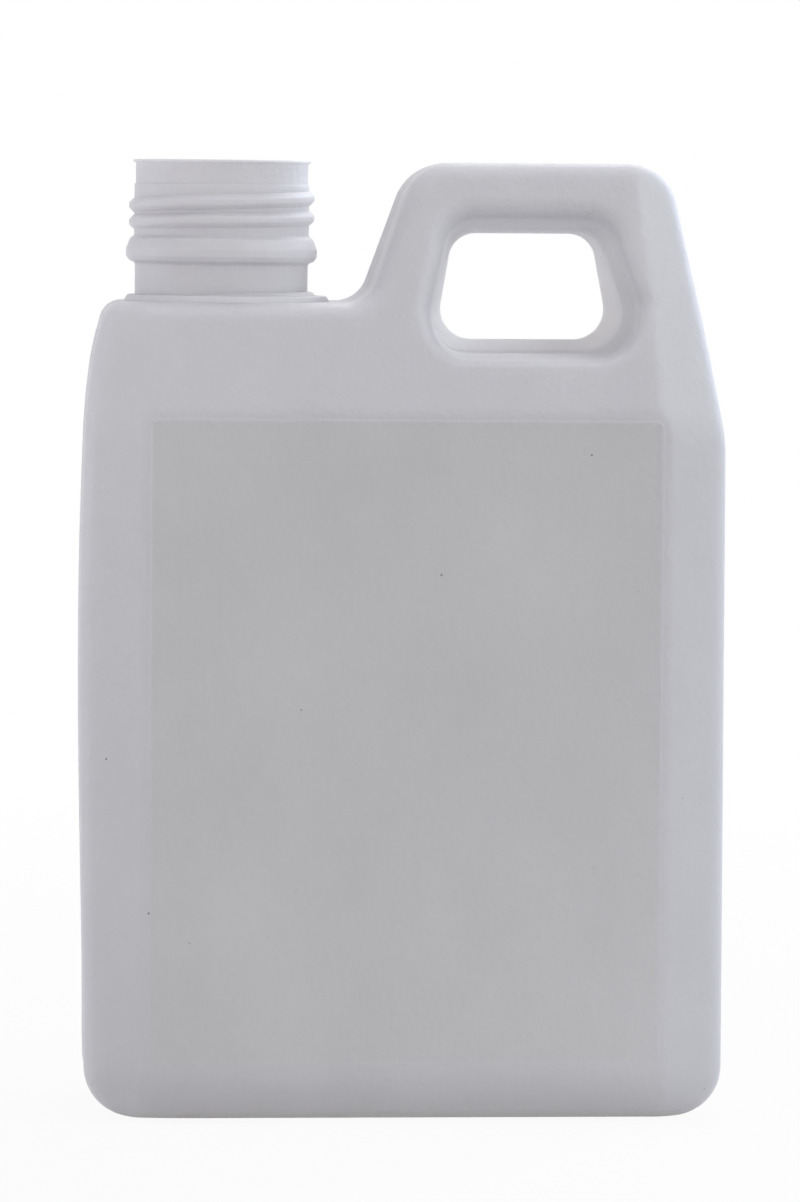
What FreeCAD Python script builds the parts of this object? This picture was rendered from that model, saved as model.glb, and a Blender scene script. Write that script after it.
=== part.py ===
import FreeCAD, Part
import math
import os

# One-litre blow-moulded jerrycan in natural HDPE: one hollow piece with a pinched handle
# and an open threaded neck. Millimetres, +Z up, front face towards -Y.
# Origin: middle of the footprint, on the surface the can stands on.

Vector = FreeCAD.Vector
JOIN = 1e-6                # points nearer than this are one point
TOUCH = 1e-4               # a point this near a face lies on it
CLEAR = 12.0               # how far a cutting solid reaches past what it cuts

# ---- Driving dimensions -------------------------------------------------------------

# Whole can
half_width = 65.6          # widest reach of the body to either side
half_depth = 29.0          # body half thickness, front to back
shoulder_height = 166.7    # flat beside the neck
handle_rise = 27.7         # flat on top of the handle, above the shoulder
wall = 1.2                 # blown wall
base_round = 13.0          # radius where the walls turn into the base
base_edge_angle = 15.0     # degrees left between the base and its rounding

# Outline seen from the front: breaks and leans of the two side walls
neck_side_widest = 86.0    # height at which the neck-side wall bellies out most
neck_side_foot_lean = 1.17 # degrees, below that belly
neck_side_top_lean = 1.35  # degrees, above it
neck_side_drop = 14.0      # break of the neck-side wall, below the shoulder
neck_side_lean = 13.5      # degrees
handle_side_drop = 28.7    # break of the handle-side wall, below the shoulder
handle_side_lean = 12.2    # degrees
grip_gap = 6.35            # from the collar disc to the foot of the handle's slope
grip_lean = 20.2           # degrees, slope of the handle beside the neck

# Corner radii of the outline
belly_radius = 2200.0
neck_side_break_radius = 90.0
shoulder_radius = 5.5
valley_radius = 6.5
grip_top_radius = 9.0
handle_corner_radius = 10.0
handle_side_break_radius = 75.0

# Front and back faces
face_drop = 21.7           # break where the faces start to lean in, below the shoulder
face_break_radius = 12.0
face_lean = 14.9           # degrees
facet_width = 12.3         # from the side of the can to the start of the corner facet
facet_angle = 24.0         # degrees between a face and its corner facet
facet_radius = 6.0         # rounding between a face and its facet
edge_round = 4.6           # rounding all along the outline of each face

# Label panel sunk into each face
panel_side_margin = 1.7    # from the panel to the start of the corner facet
panel_bottom = 12.9
panel_top_margin = 2.1     # from the panel to the break of the face
panel_corner = 1.6
panel_depth = 0.3

# Finger hole: the trimmed opening in the weld web, and the funnel that leads to it
hole_drop = 7.8            # lower edge of the hole, below the shoulder
hole_roof = 13.9           # upper edge of the hole, below the top of the handle
inner_bar = 15.75          # from the foot of the handle's slope to the hole
outer_bar = 22.6           # from the side of the can to the hole
hole_left_lean = 9.5       # degrees
hole_right_lean = 10.8     # degrees
hole_foot_radius = 6.3
hole_top_radius = 5.5
web_left = 0.9             # weld web left standing on each side of the hole
web_right = 3.4
web_bottom = 1.8
web_top = 0.7
web_half_thickness = 1.0
funnel_draft = 5.0         # degrees
funnel_round = 2.8

# Neck: radii build up from the bore, heights are above the shoulder
neck_inset = 28.9          # from the side of the can to the neck's axis
bore_radius = 15.9
neck_wall = 1.8            # wall of the plain collar under the bead
collar_reach = 4.2         # how far the low round step stands out past that collar
bead_reach = 1.85
root_reach = 0.2           # how far the thread's root stands out past the plain collar
thread_depth = 1.07
land_step = 0.27           # how far the land steps in from the thread's root
lip_reach = 0.52           # how far the lip stands out past the land
collar_rise = 0.9
collar_sink = 3.0          # how far the neck's solid starts below the shoulder
bead_bottom_rise = 7.6
bead_top_rise = 12.6
thread_rise = 15.4         # ridge where it passes the side away from the handle
land_rise = 23.4
neck_rise = 28.3
bead_land = 1.7            # height of the bead's widest part
bead_under = 0.8           # height of the bevel under the bead
bead_shelf = 0.6           # flat left on top of the bead, outside the thread's root
thread_pitch = 3.5
thread_turns = 1.8
thread_base_width = 2.3
thread_crest_width = 0.8
thread_round = 0.3
thread_sink = 0.4          # how far the ridge's foot is buried in the neck
lip_thickness = 0.5
lip_break = 0.15           # rounding on the lip's outer edge
corner_break = 0.3         # small roundings on the neck

# Base: push-up inside the standing rim
push_up = 1.5              # height of the middle of the base above the rim
rim_width = 5.5            # flat rim the can stands on
push_up_corner = 9.0
push_up_slope = 45.0       # degrees, side of the push-up


# ---- Helpers ------------------------------------------------------------------------

def tangent(degrees):
    return math.tan(math.radians(degrees))


def sine(degrees):
    return math.sin(math.radians(degrees))


def cosine(degrees):
    return math.cos(math.radians(degrees))


def offset_corners(corners, inset):
    """Move every side of a closed (u, v, radius) outline inwards by inset, corners mitred."""
    if inset == 0:
        return corners
    count = len(corners)
    moved = []
    for index in range(count):
        before = corners[index - 1]
        here = corners[index]
        after = corners[(index + 1) % count]
        first = unit(here[0] - before[0], here[1] - before[1])
        second = unit(after[0] - here[0], after[1] - here[1])
        turn = first[0] * second[1] - first[1] * second[0]
        along = first[0] * second[0] + first[1] * second[1]
        slide = math.tan(math.atan2(turn, along) / 2.0)
        u = here[0] - inset * first[1] - inset * slide * first[0]
        v = here[1] + inset * first[0] - inset * slide * first[1]
        radius = max(0.0, here[2] - math.copysign(inset, turn))
        moved.append((u, v, radius))
    return moved


def unit(u, v):
    length = math.hypot(u, v)
    return u / length, v / length


def corner_arc(u, v, radius, first, second):
    """Start, middle and end of the arc that turns direction first into second at (u, v)."""
    turn = math.atan2(first[0] * second[1] - first[1] * second[0],
                      first[0] * second[0] + first[1] * second[1])
    reach = radius * math.tan(abs(turn) / 2.0)
    bulge = radius / math.cos(turn / 2.0) - radius
    inward = unit(second[0] - first[0], second[1] - first[1])
    start = (u - reach * first[0], v - reach * first[1])
    middle = (u + bulge * inward[0], v + bulge * inward[1])
    end = (u + reach * second[0], v + reach * second[1])
    return start, middle, end


def rounded_wire(corners, place):
    """Closed wire through (u, v, radius) corners, each turned by an arc; place maps (u, v) to 3-D."""
    count = len(corners)
    arcs = []
    for index in range(count):
        before = corners[index - 1]
        u, v, radius = corners[index]
        after = corners[(index + 1) % count]
        first = unit(u - before[0], v - before[1])
        second = unit(after[0] - u, after[1] - v)
        arcs.append([place(*point) for point in corner_arc(u, v, radius, first, second)])
    edges = []
    for index in range(count):
        start, middle, end = arcs[index]
        if start.distanceToPoint(end) > JOIN:
            edges.append(Part.Arc(start, middle, end).toShape())
        following = arcs[(index + 1) % count][0]
        if end.distanceToPoint(following) > JOIN:
            edges.append(Part.LineSegment(end, following).toShape())
    return Part.Wire(edges)


def front_plane(y):
    """Place (u, v) as (x, z) at depth y."""
    return lambda u, v: Vector(u, y, v)


def side_plane(x):
    """Place (u, v) as (y, z) at x."""
    return lambda u, v: Vector(x, u, v)


def plan_plane(z):
    """Place (u, v) as (x, y) at height z."""
    return lambda u, v: Vector(u, v, z)


def slab(corners, front, back):
    """Solid between two depths with the given (x, z, radius) outline."""
    face = Part.Face(rounded_wire(corners, front_plane(front)))
    return face.extrude(Vector(0, back - front, 0))


def rounded_path(corners, place):
    """Open wire through (u, v, radius) points, with its inner points turned by arcs."""
    edges = []
    last = place(*corners[0][:2])
    for index in range(1, len(corners) - 1):
        before = corners[index - 1]
        u, v, radius = corners[index]
        after = corners[index + 1]
        first = unit(u - before[0], v - before[1])
        second = unit(after[0] - u, after[1] - v)
        start, middle, end = corner_arc(u, v, radius, first, second)
        edges.append(Part.LineSegment(last, place(*start)).toShape())
        edges.append(Part.Arc(place(*start), place(*middle), place(*end)).toShape())
        last = place(*end)
    edges.append(Part.LineSegment(last, place(*corners[-1][:2])).toShape())
    return Part.Wire(edges)


# ---- Sizes that follow -------------------------------------------------------------------

# Neck radii
neck_radius = bore_radius + neck_wall
collar_radius = neck_radius + collar_reach
bead_radius = neck_radius + bead_reach
thread_root_radius = neck_radius + root_reach
thread_crest_radius = thread_root_radius + thread_depth
land_radius = thread_root_radius - land_step
lip_radius = land_radius + lip_reach

# Places along the width
neck_x = neck_inset - half_width
grip_foot_x = neck_x + collar_radius + grip_gap
hole_left_foot = grip_foot_x + inner_bar
hole_right_foot = half_width - outer_bar
facet_start = half_width - facet_width
panel_half_width = facet_start - panel_side_margin

# Heights
handle_height = shoulder_height + handle_rise
neck_side_break = shoulder_height - neck_side_drop
handle_side_break = shoulder_height - handle_side_drop
face_break = shoulder_height - face_drop
panel_top = face_break - panel_top_margin
hole_bottom = shoulder_height - hole_drop
hole_top = handle_height - hole_roof
collar_top = shoulder_height + collar_rise
bead_bottom = shoulder_height + bead_bottom_rise
bead_top = shoulder_height + bead_top_rise
thread_start = shoulder_height + thread_rise
land_bottom = shoulder_height + land_rise
neck_top = shoulder_height + neck_rise

# Base: how far its rounding would reach below the standing surface, and where the flat starts
base_sink = base_round * (1.0 - cosine(base_edge_angle))
base_turn = base_round * (1.0 - sine(base_edge_angle))

# Neck-side wall: its two leaning stretches meet outside the arc that touches half_width
belly_turn = neck_side_foot_lean + neck_side_top_lean
belly_x = -half_width - belly_radius * (1.0 / cosine(belly_turn / 2.0) - 1.0)
foot_x = belly_x + (neck_side_widest + base_sink) * tangent(neck_side_foot_lean)

# Push-up
push_up_half_width = -foot_x - base_turn - rim_width
push_up_half_depth = half_depth - base_turn - rim_width


# ---- The closed form, outside and inside ----------------------------------------------

def outline_corners():
    """Front view of the can without its neck, anticlockwise, as (x, z, radius)."""
    neck_break_x = belly_x + (neck_side_break - neck_side_widest) * tangent(neck_side_top_lean)
    shoulder_x = neck_break_x + (shoulder_height - neck_side_break) * tangent(neck_side_lean)
    grip_top_x = grip_foot_x + (handle_height - shoulder_height) * tangent(grip_lean)
    corner_x = half_width - (handle_height - handle_side_break) * tangent(handle_side_lean)
    return [
        (foot_x, -base_sink, base_round),
        (half_width, -base_sink, base_round),
        (half_width, handle_side_break, handle_side_break_radius),
        (corner_x, handle_height, handle_corner_radius),
        (grip_top_x, handle_height, grip_top_radius),
        (grip_foot_x, shoulder_height, valley_radius),
        (shoulder_x, shoulder_height, shoulder_radius),
        (neck_break_x, neck_side_break, neck_side_break_radius),
        (belly_x, neck_side_widest, belly_radius),
    ]


def face_limit(inset):
    """Solid that reaches from the front face, with its slanted facets, far past the back."""
    reach = half_width + CLEAR
    far = half_depth + CLEAR
    top = handle_height + CLEAR
    start = facet_start - inset * tangent(facet_angle / 2.0)
    drop = (reach - start) * tangent(facet_angle)
    top_y = (top - face_break) * tangent(face_lean) - half_depth
    profile = [
        (-half_depth, -base_sink, base_round),
        (far, -base_sink, 0.0),
        (far, top, 0.0),
        (top_y, top, 0.0),
        (-half_depth, face_break, face_break_radius),
    ]
    moved = offset_corners(profile, inset)
    section = rounded_wire([(y + drop, z, radius) for y, z, radius in moved], side_plane(-reach))
    radius = max(facet_radius - inset, inset)
    path = rounded_path([(-reach, drop, 0.0), (-start, 0.0, radius),
                         (start, 0.0, radius), (reach, drop, 0.0)], plan_plane(0.0))
    sweep = Part.BRepOffsetAPI.MakePipeShell(path)
    sweep.setTrihedronMode(Vector(0, 0, 0), Vector(0, 0, 1))
    sweep.add(section)
    sweep.build()
    sweep.makeSolid()
    return sweep.shape()


def runs_front_to_back(face):
    """True for a face of the outline, whose normal has no part along Y."""
    first_u, last_u, first_v, last_v = face.ParameterRange
    normal = face.normalAt((first_u + last_u) / 2.0, (first_v + last_v) / 2.0)
    return abs(normal.y) < JOIN


def closed_form(inset):
    """The blown form without neck and hole, with every wall moved inwards by inset."""
    reach = half_depth + CLEAR
    outline = offset_corners(outline_corners(), inset)
    front = face_limit(inset)
    back = front.mirror(Vector(0, 0, 0), Vector(0, 1, 0))
    body = slab(outline, -reach, reach).common(front).common(back)
    below = Part.makeBox(4 * half_width, 4 * half_depth, CLEAR,
                         Vector(-2 * half_width, -2 * half_depth, inset - CLEAR))
    body = body.cut(below).Solids[0]
    rim = []
    for edge in body.Edges:
        sides = [runs_front_to_back(face) for face in body.ancestorsOfType(edge, Part.Face)]
        if sides[0] != sides[-1] and edge.BoundBox.ZMax > inset + JOIN:
            rim.append(edge)
    return body.makeFillet(edge_round - inset, rim)


# ---- Finger hole ----------------------------------------------------------------------

def hole_corners(left, right, bottom, top, radius_gain):
    """Outline of the hole with each side moved outwards, as (x, z, radius)."""
    low = hole_bottom - bottom
    high = hole_top + top
    left_slope = tangent(hole_left_lean)
    right_slope = tangent(hole_right_lean)
    left_x = hole_left_foot - left / cosine(hole_left_lean)
    right_x = hole_right_foot + right / cosine(hole_right_lean)
    return [
        (left_x - bottom * left_slope, low, hole_foot_radius + radius_gain),
        (right_x + bottom * right_slope, low, hole_foot_radius + radius_gain),
        (right_x - (high - hole_bottom) * right_slope, high, hole_top_radius + radius_gain),
        (left_x + (high - hole_bottom) * left_slope, high, hole_top_radius + radius_gain),
    ]


def funnel(gain, flat_end):
    """Tapered plug that forms the front funnel, its sides moved outwards by gain."""
    rings = []
    for depth in (flat_end, half_depth + CLEAR):
        spread = gain + (depth - web_half_thickness) * tangent(funnel_draft)
        corners = hole_corners(web_left + spread, web_right + spread,
                               web_bottom + spread, web_top + spread, spread)
        rings.append(rounded_wire(corners, front_plane(-depth)))
    return Part.makeLoft(rings, True, True)


def grip_plugs(gain, flat_end):
    """The front funnel and its mirror image at the back."""
    front = funnel(gain, flat_end)
    return [front, front.mirror(Vector(0, 0, 0), Vector(0, 1, 0))]


def with_funnels(body):
    """Sink both funnels into the can and round their mouths."""
    plugs = grip_plugs(0.0, web_half_thickness)
    sunk = body
    for plug in plugs:
        sunk = sunk.cut(plug)
    mouth = []
    for edge in sunk.Solids[0].Edges:
        middle = Part.Vertex(edge.valueAt((edge.FirstParameter + edge.LastParameter) / 2.0))
        on_skin = middle.distToShape(body.Shells[0])[0] < TOUCH
        on_plug = any(middle.distToShape(plug.Shells[0])[0] < TOUCH for plug in plugs)
        if on_skin and on_plug:
            mouth.append(edge)
    return sunk.Solids[0].makeFillet(funnel_round, mouth)


# ---- Panels, base and neck --------------------------------------------------------------

def panel_plates(inset):
    """Plates that sink the two flat panels into walls moved inwards by inset."""
    corners = [
        (-panel_half_width, panel_bottom, panel_corner),
        (panel_half_width, panel_bottom, panel_corner),
        (panel_half_width, panel_top, panel_corner),
        (-panel_half_width, panel_top, panel_corner),
    ]
    floor = half_depth - inset - panel_depth
    front = slab(corners, -floor - CLEAR, -floor)
    return [front, front.mirror(Vector(0, 0, 0), Vector(0, 1, 0))]


def push_up_plug(gain):
    """Low tapered plug that lifts the middle of the base, with its faces moved by gain."""
    rings = []
    for height in (0.0, push_up + gain):
        spread = gain / sine(push_up_slope) - height / tangent(push_up_slope)
        half_u = push_up_half_width + spread
        half_v = push_up_half_depth + spread
        radius = push_up_corner + spread
        corners = [(-half_u, -half_v, radius), (half_u, -half_v, radius),
                   (half_u, half_v, radius), (-half_u, half_v, radius)]
        rings.append(rounded_wire(corners, plan_plane(height)))
    return Part.makeLoft(rings, True, True)


def turned(corners):
    """Solid turned about the neck axis from a closed (radius, z, corner radius) section."""
    face = Part.Face(rounded_wire(corners, front_plane(0.0)))
    solid = face.revolve(Vector(0, 0, 0), Vector(0, 0, 1), 360.0)
    solid.translate(Vector(neck_x, 0, 0))
    return solid


def neck_blank():
    """Collar disc, plain collar, bead, threaded stretch, land and lip, still without the bore."""
    bead_full = bead_bottom + bead_under
    lip_under = neck_top - lip_thickness
    return turned([
        (0.0, shoulder_height - collar_sink, 0.0),
        (collar_radius, shoulder_height - collar_sink, 0.0),
        (collar_radius, collar_top, corner_break),
        (neck_radius, collar_top, corner_break),
        (neck_radius, bead_bottom, 0.0),
        (bead_radius - bead_under / 2.0, bead_bottom, corner_break),
        (bead_radius, bead_full, corner_break),
        (bead_radius, bead_full + bead_land, corner_break),
        (thread_root_radius + bead_shelf, bead_top, corner_break),
        (thread_root_radius, bead_top, 0.0),
        (thread_root_radius, land_bottom, 0.0),
        (land_radius, land_bottom, 0.0),
        (land_radius, lip_under, 0.0),
        (lip_radius, lip_under, 0.0),
        (lip_radius, neck_top, lip_break),
        (0.0, neck_top, 0.0),
    ])


def run_out(angle, height):
    """Block that planes the ridge down to the root at one of its ends."""
    block = Part.makeBox(CLEAR, 2 * CLEAR, thread_pitch,
                         Vector(thread_root_radius, -CLEAR, height - thread_pitch / 2.0))
    block.rotate(Vector(0, 0, 0), Vector(0, 0, 1), angle)
    return block


def thread_ridge():
    """Right-hand helical ridge, faded into the neck at both ends."""
    spare = (thread_turns - 1.5) / 2.0
    start_angle = 180.0 - 360.0 * spare
    start_height = thread_start - thread_pitch * spare
    rise = thread_pitch * thread_turns
    flank = (thread_base_width - thread_crest_width) / 2.0
    slope = flank / (thread_crest_radius - thread_root_radius)
    sunk_half = thread_base_width / 2.0 + thread_sink * slope
    section = rounded_wire([
        (thread_root_radius - thread_sink, -sunk_half, 0.0),
        (thread_crest_radius, -thread_crest_width / 2.0, thread_round),
        (thread_crest_radius, thread_crest_width / 2.0, thread_round),
        (thread_root_radius - thread_sink, sunk_half, 0.0),
    ], front_plane(0.0))
    helix = Part.makeHelix(thread_pitch, rise, thread_root_radius)
    ridge = Part.Wire(helix).makePipeShell([section], True, True)
    ridge.translate(Vector(0, 0, start_height))
    ridge.rotate(Vector(0, 0, 0), Vector(0, 0, 1), start_angle)
    ridge = ridge.cut(run_out(start_angle, start_height))
    ridge = ridge.cut(run_out(start_angle + 360.0 * thread_turns, start_height + rise))
    ridge.translate(Vector(neck_x, 0, 0))
    return ridge


# ---- The can ------------------------------------------------------------------------------

def cavity():
    """Room inside the can, one wall thickness inside every outer face."""
    room = closed_form(wall)
    web = grip_plugs(wall, -web_half_thickness)
    for plug in web + panel_plates(wall) + [push_up_plug(wall)]:
        room = room.cut(plug)
    return room


def can():
    body = with_funnels(closed_form(0.0))
    for plate in panel_plates(0.0):
        body = body.cut(plate)
    body = body.cut(push_up_plug(0.0))
    body = body.fuse(neck_blank()).fuse(thread_ridge())
    body = body.cut(cavity())
    bore = Part.makeCylinder(bore_radius, neck_top, Vector(neck_x, 0, shoulder_height - collar_sink))
    body = body.cut(bore)
    return body.cut(slab(hole_corners(0.0, 0.0, 0.0, 0.0, 0.0), -half_depth, half_depth))


os.makedirs("parts", exist_ok=True)
can_body = can()
can_body.exportStep("parts/can_body.step")
print("can_body", can_body.isValid(), len(can_body.Solids), round(can_body.Volume))
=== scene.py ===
# %% [markdown]
# # A small blow-moulded jerrycan
# The real can is one piece of natural HDPE. A tube of soft plastic is pinched between two
# mould halves and blown out against them, so the body, the hollow handle, the thin weld web
# round the finger hole and the threaded neck are all one skin about a millimetre thick.
# The drawing office's solid gives the sizes; this file rebuilds the skin smoothly, gives it
# the look of the plastic, and lights it.

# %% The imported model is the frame
import math

import bmesh
import bpy
import numpy as np
from mathutils import Matrix, Vector
from mathutils.geometry import delaunay_2d_cdt


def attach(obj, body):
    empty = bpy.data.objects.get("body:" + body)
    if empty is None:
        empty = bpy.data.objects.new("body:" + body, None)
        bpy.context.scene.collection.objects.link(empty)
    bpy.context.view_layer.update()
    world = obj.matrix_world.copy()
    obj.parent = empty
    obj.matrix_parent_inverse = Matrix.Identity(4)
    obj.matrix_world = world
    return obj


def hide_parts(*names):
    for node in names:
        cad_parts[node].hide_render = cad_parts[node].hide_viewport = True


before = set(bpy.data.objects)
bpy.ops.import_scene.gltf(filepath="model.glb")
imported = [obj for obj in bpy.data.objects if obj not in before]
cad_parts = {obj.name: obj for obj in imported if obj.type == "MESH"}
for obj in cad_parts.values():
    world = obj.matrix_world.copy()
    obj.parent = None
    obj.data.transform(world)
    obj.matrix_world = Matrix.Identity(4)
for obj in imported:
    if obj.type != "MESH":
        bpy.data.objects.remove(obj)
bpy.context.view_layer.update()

MM = 0.001

# %% [markdown]
# ## Sizes
# All sizes are in millimetres, as on the drawing: x runs from the neck to the handle, y from
# front to back, z up. The outline is a closed list of corners (x, z, radius), taken
# anticlockwise as seen from the front, and the finger hole is another.

# %% Sizes of the can
half_depth = 29.0
wall = 1.2
base_round = 13.0
edge_round = 4.6
outline = [
    (-64.45, 1.05, 11.0), (-41.0, 0.0, 60.0), (65.6, 0.0, 10.8), (65.1, 139.0, 36.0),
    (60.7, 162.4, 120.0), (53.85, 194.75, 10.0), (2.3, 194.75, 10.5), (-7.6, 166.25, 6.5),
    (-60.4, 166.25, 4.7),
    (-63.2, 155.5, 60.0), (-64.55, 143.0, 150.0), (-65.55, 112.0, 900.0),
    (-65.6, 78.0, 1500.0), (-64.6, 28.0, 400.0),
]
face_break, face_break_radius, face_lean = 145.0, 12.0, math.radians(14.9)
facet_start, facet_radius, facet_turn = 53.3, 4.5, math.radians(24.0)
handle_step, handle_lean, neck_step = 2.3, 0.1, 1.2   # how the facets start further in above
panel_box = (51.6, 12.9, 142.9, 1.6)   # half width, bottom, top, corner radius
neck_x = -36.7

# %% [markdown]
# ## Loops
# Every edge of the can is a line of constant distance from an outline, so one function
# walks round a cornered outline and gives its points and outward normals at any distance
# inside it. An arc keeps its centre when the outline is moved, and only its radius changes.

# %% A loop with rounded corners, moved in or out
def corner_turns(corners):
    spots = np.array([corner[:2] for corner in corners])
    along = np.roll(spots, -1, axis=0) - spots
    lengths = np.hypot(along[:, 0], along[:, 1])
    along = along / lengths[:, None]
    before = np.roll(along, 1, axis=0)
    turn = np.arctan2(before[:, 0] * along[:, 1] - before[:, 1] * along[:, 0],
                      (before * along).sum(axis=1))
    return spots, before, along, lengths, turn


def loop_counts(corners, step):
    """How many spans each corner and each side gets, for spans about one step long."""
    _, _, _, lengths, turn = corner_turns(corners)
    radii = np.array([corner[2] for corner in corners])
    reach = radii * np.tan(np.abs(turn) / 2)
    sides = lengths - reach - np.roll(reach, -1)
    arcs = np.maximum(3, np.ceil(radii * np.abs(turn) / step)).astype(int)
    return arcs, np.maximum(1, np.ceil(sides / step)).astype(int)


def loop_points(corners, inset, counts):
    """Points and outward normals round the outline, moved inwards by inset."""
    spots, before, along, _, turn = corner_turns(corners)
    arcs, normals = [], []
    for index, (x, z, radius) in enumerate(corners):
        side = math.copysign(1.0, turn[index])
        first = np.array([before[index][1], -before[index][0]])
        start = spots[index] - before[index] * radius * math.tan(abs(turn[index]) / 2)
        centre = start - side * radius * first
        angle = math.atan2(first[1], first[0]) + turn[index] * np.linspace(
            0, 1, counts[0][index] + 1)
        ray = np.stack([np.cos(angle), np.sin(angle)], axis=1)
        arcs.append(centre + (side * radius - inset) * ray)
        normals.append(ray)
    points, rays = [], []
    for index in range(len(corners)):
        after = (index + 1) % len(corners)
        share = np.linspace(0, 1, counts[1][index] + 1)[1:-1, None]
        points += [arcs[index], arcs[index][-1] * (1 - share) + arcs[after][0] * share]
        rays += [normals[index], np.repeat(normals[index][-1:], len(share), axis=0)]
    return np.concatenate(points), np.concatenate(rays)


# %% [markdown]
# ## The rule of the faces
# The front face is a height over the front view: it stands half the depth out from the
# middle plane, leans back above the panel, drops away in a slanted facet at each side and
# curls under at the base. Each bend is a true arc. The panel is a shallow recess with a
# fine raised witness line, where the mould's insert met the block around it.

# %% Depth of the face at any place in the front view
def bend(distance, radius, turn):
    """Drop past a bend at distance 0, turned by an arc of that radius."""
    reach = radius * math.tan(turn / 2)
    arc = np.clip(distance + reach, 0, radius * math.sin(turn))
    return np.where(distance > reach, distance * math.tan(turn),
                    radius - np.sqrt(radius ** 2 - arc ** 2))


def inside_box(x, z, box):
    """Distance inside a rounded rectangle, negative outside."""
    half, bottom, top, corner = box
    middle, rise = (bottom + top) / 2, (top - bottom) / 2
    over_x = np.abs(x) - half + corner
    over_z = np.abs(z - middle) - rise + corner
    outside = np.hypot(np.maximum(over_x, 0), np.maximum(over_z, 0))
    return corner - outside - np.minimum(np.maximum(over_x, over_z), 0)


def smooth(share):
    share = np.clip(share, 0, 1)
    return share * share * (3 - 2 * share)


# the panel's edge: how far it sinks over how long a run, and the witness line on it;
# near the foot of the can both keep only a part of this
ledge_depth, ledge_run, bead_height, bead_half = 0.30, 2.4, 0.13, 0.28
faint, faint_below, crisp_run = 0.25, 14.0, 90.0
# a soft crease that runs on above the panel's corner on the neck side, up to a height
crease_x, crease_half, crease_depth, crease_top = -51.3, 1.6, 0.07, 170.0


def sway(x, z):
    """Slow unevenness that the plastic takes on as it cools, a few hundredths of a mm."""
    return (0.05 * np.sin(x / 17.0 + 0.6) * np.cos(z / 23.0 + 1.1)
            + 0.035 * np.sin(x / 7.9 + z / 11.0 + 2.0) + 0.03 * np.cos(z / 8.3 - x / 29.0))


def facet_line(x, z):
    """Where the slanted facet starts: above the face's break it steps in and leans in."""
    above = smooth((z - face_break + 6.0) / 8.0)
    lean_in = handle_step * above + handle_lean * np.maximum(z - face_break - 7.0, 0)
    return facet_start - np.where(x > 0, lean_in, neck_step * above)


def face_depth(x, z, detail=True):
    under = np.clip(base_round - z, 0, base_round)
    depth = (half_depth - bend(z - face_break, face_break_radius, face_lean)
             - bend(np.abs(x) - facet_line(x, z), facet_radius, facet_turn)
             - base_round + np.sqrt(base_round ** 2 - under ** 2))
    if detail:
        inner = inside_box(x, z, panel_box)
        crisp = faint + (1 - faint) * smooth((z - faint_below) / crisp_run)
        depth = depth - crisp * ledge_depth * smooth((inner + ledge_run) / ledge_run)
        depth = depth + crisp * bead_height * np.exp(-(inner / bead_half) ** 2)
        crease = (np.exp(-((x - crease_x) / crease_half) ** 2)
                  * smooth((z - face_break + 4.0) / 4.0) * smooth((crease_top - z) / 12.0))
        depth = depth - crease_depth * crease
        depth = depth + sway(x, z) * smooth((z - 4) / 12)
    return depth


# %% [markdown]
# ## Rounding the rim
# A ball rolled in the corner between the face and the side wall leaves an arc in both.
# With the angle between the two surfaces known at each place, the arc's depth at a given
# distance from the outline has a closed form, so the rounding fades out by itself where
# the two surfaces become one at the foot of the can.

# %% Depth near the outline
def rim_depth(points, rays, distance, radius, detail, inset):
    x, z = points[:, 0], points[:, 1]
    tiny = 1e-3   # step for taking slopes
    depth = face_depth(x, z, detail)
    slope_x = (face_depth(x + tiny, z, False) - face_depth(x - tiny, z, False)) / (2 * tiny)
    slope_z = (face_depth(x, z + 2 * tiny, False) - face_depth(x, z, False)) / (2 * tiny)
    level = 1 / np.sqrt(1 + slope_x ** 2 + slope_z ** 2)
    depth = depth - inset / np.maximum(level, 0.2)
    meet = np.clip(-(slope_x * rays[:, 0] + slope_z * rays[:, 1]) * level, 0, 0.99999)
    short = radius - distance
    run = meet * short + np.sqrt((1 - meet ** 2) * max(radius ** 2 - short ** 2, 0))
    rounded = depth - (radius - run) / level
    return np.where(distance < radius * (1 - meet), rounded, depth)


print("face depth at the middle of the panel:", float(face_depth(0.0, 80.0)))

# %% [markdown]
# ## The finger hole
# Where the mould halves press the plastic together it welds into a thin web, and the hole
# is punched out of it, so a narrow web is left standing, widest on the outer side. From the
# web a steep funnel opens to each face and rolls over into it. The fingers lie against the
# top bar, so the funnel leans out more there and its roll-over is wider. Each ring of the
# funnel is the web's loop moved along its normals, so draft and roll-over can change
# smoothly with the way a normal points.

# %% Sizes and loops of the finger hole
web_half, web_fillet = 1.0, 0.6
# the funnel's draft in degrees and the radius of its roll-over where nothing widens them
plain_draft, plain_roll = 3.0, 1.8


def window(low, high, left, right, left_lean, right_lean, radii):
    """Corners of a window with leaning sides, its widths taken at the height of its foot."""
    left_in = (high - low) * math.tan(math.radians(left_lean))
    right_in = (high - low) * math.tan(math.radians(right_lean))
    return [(left, low, radii[0]), (right, low, radii[1]),
            (right - right_in, high, radii[2]), (left + left_in, high, radii[3])]


punched_edge = window(158.8, 180.5, 7.15, 43.4, 9.5, 10.8, (6.3, 6.3, 5.5, 5.5))
funnel_foot = window(156.2, 181.2, 5.0, 48.6, 12.2, 17.8, (7.0, 8.0, 6.0, 6.0))


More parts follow.
